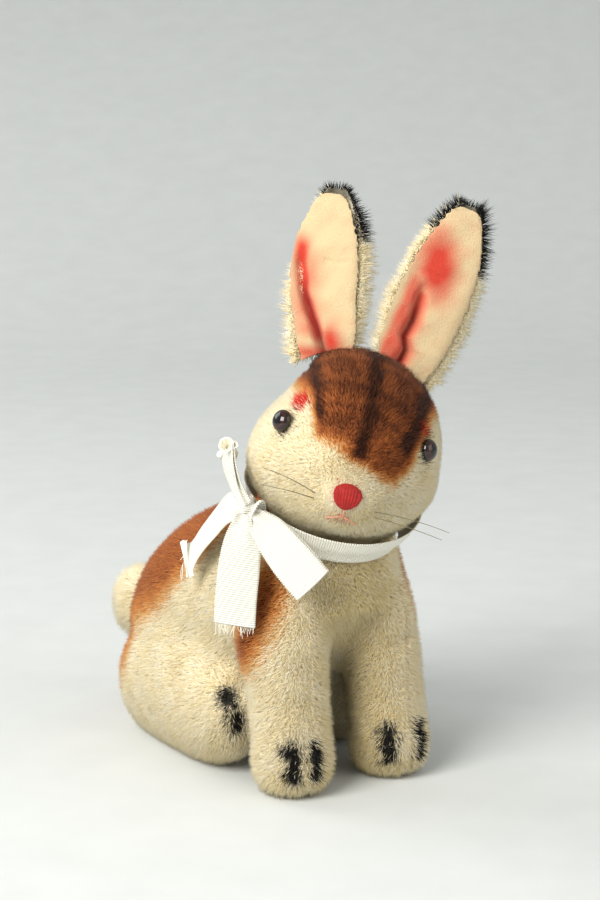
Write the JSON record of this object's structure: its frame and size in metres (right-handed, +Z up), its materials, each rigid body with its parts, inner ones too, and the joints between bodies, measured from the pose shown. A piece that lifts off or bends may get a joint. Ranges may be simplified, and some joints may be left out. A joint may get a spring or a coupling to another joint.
{
  "type": "stuffed bunny rabbit",
  "caption": "Sitting plush rabbit with a turning head, upright lined ears, glass eyes, stitched nose, whiskers, tail and a ribbon bow round the neck.",
  "frame": {"origin": "centre of the footprint of the whole toy's box, on the surface it sits on", "axes": "+Z up, -Y the way the body faces, +X the rabbit's left"},
  "size_m": [0.0658, 0.1366, 0.1451],
  "materials": {
    "mohair_body": "mohair plush, cream with an orange-brown airbrushed back",
    "mohair_belly": "cream mohair plush",
    "mohair_head": "cream mohair plush",
    "mohair_crown": "mohair plush airbrushed brown with darker stripes",
    "mohair_ear": "long mohair plush, black towards the tip",
    "velveteen": "short velveteen, airbrushed coral red",
    "wood_wool": "packed wood wool",
    "cardboard": "pressed cardboard",
    "steel": "plain steel",
    "thread": "linen thread",
    "ribbon": "ivory grosgrain ribbon",
    "eye_glass": "dark glass with a brown rim, polished",
    "nose_thread": "coral red embroidery floss",
    "whisker": "thin olive-grey filament"
  },
  "bodies": {
    "body": {"body_side_right": "mohair_body", "body_side_left": "mohair_body", "belly_gusset": "mohair_belly", "tail_plush": "mohair_belly", "body_stuffing": "wood_wool", "tail_stuffing": "wood_wool", "lower_neck_disc": "cardboard", "lower_washer": "steel", "neck_split_pin": "steel", "body_neck_thread": "thread", "bow_collar": "ribbon", "bow_knot": "ribbon", "bow_loop_front": "ribbon", "bow_loop_back": "ribbon", "bow_end_front": "ribbon", "bow_end_back": "ribbon"},
    "head": {"head_stuffing": "wood_wool", "upper_neck_disc": "cardboard", "upper_washer": "steel", "eye_shank_right": "steel", "eye_shank_left": "steel", "head_neck_thread": "thread", "head_side_right": "mohair_head", "head_side_left": "mohair_head", "head_gusset": "mohair_crown", "eye_right": "eye_glass", "eye_left": "eye_glass", "nose_stitches": "nose_thread", "mouth_stitches": "nose_thread", "whiskers_right": "whisker", "whiskers_left": "whisker", "ear_back_right": "mohair_ear", "ear_back_left": "mohair_ear", "ear_lining_right": "velveteen", "ear_lining_left": "velveteen"}
  },
  "joints": [
    {"name": "head_turn", "type": "hinge", "parent": "body", "child": "head", "pos_m": [0.0003, -0.028, 0.0658], "axis": [0, -0.4067, 0.9135], "continuous": true}
  ]
}
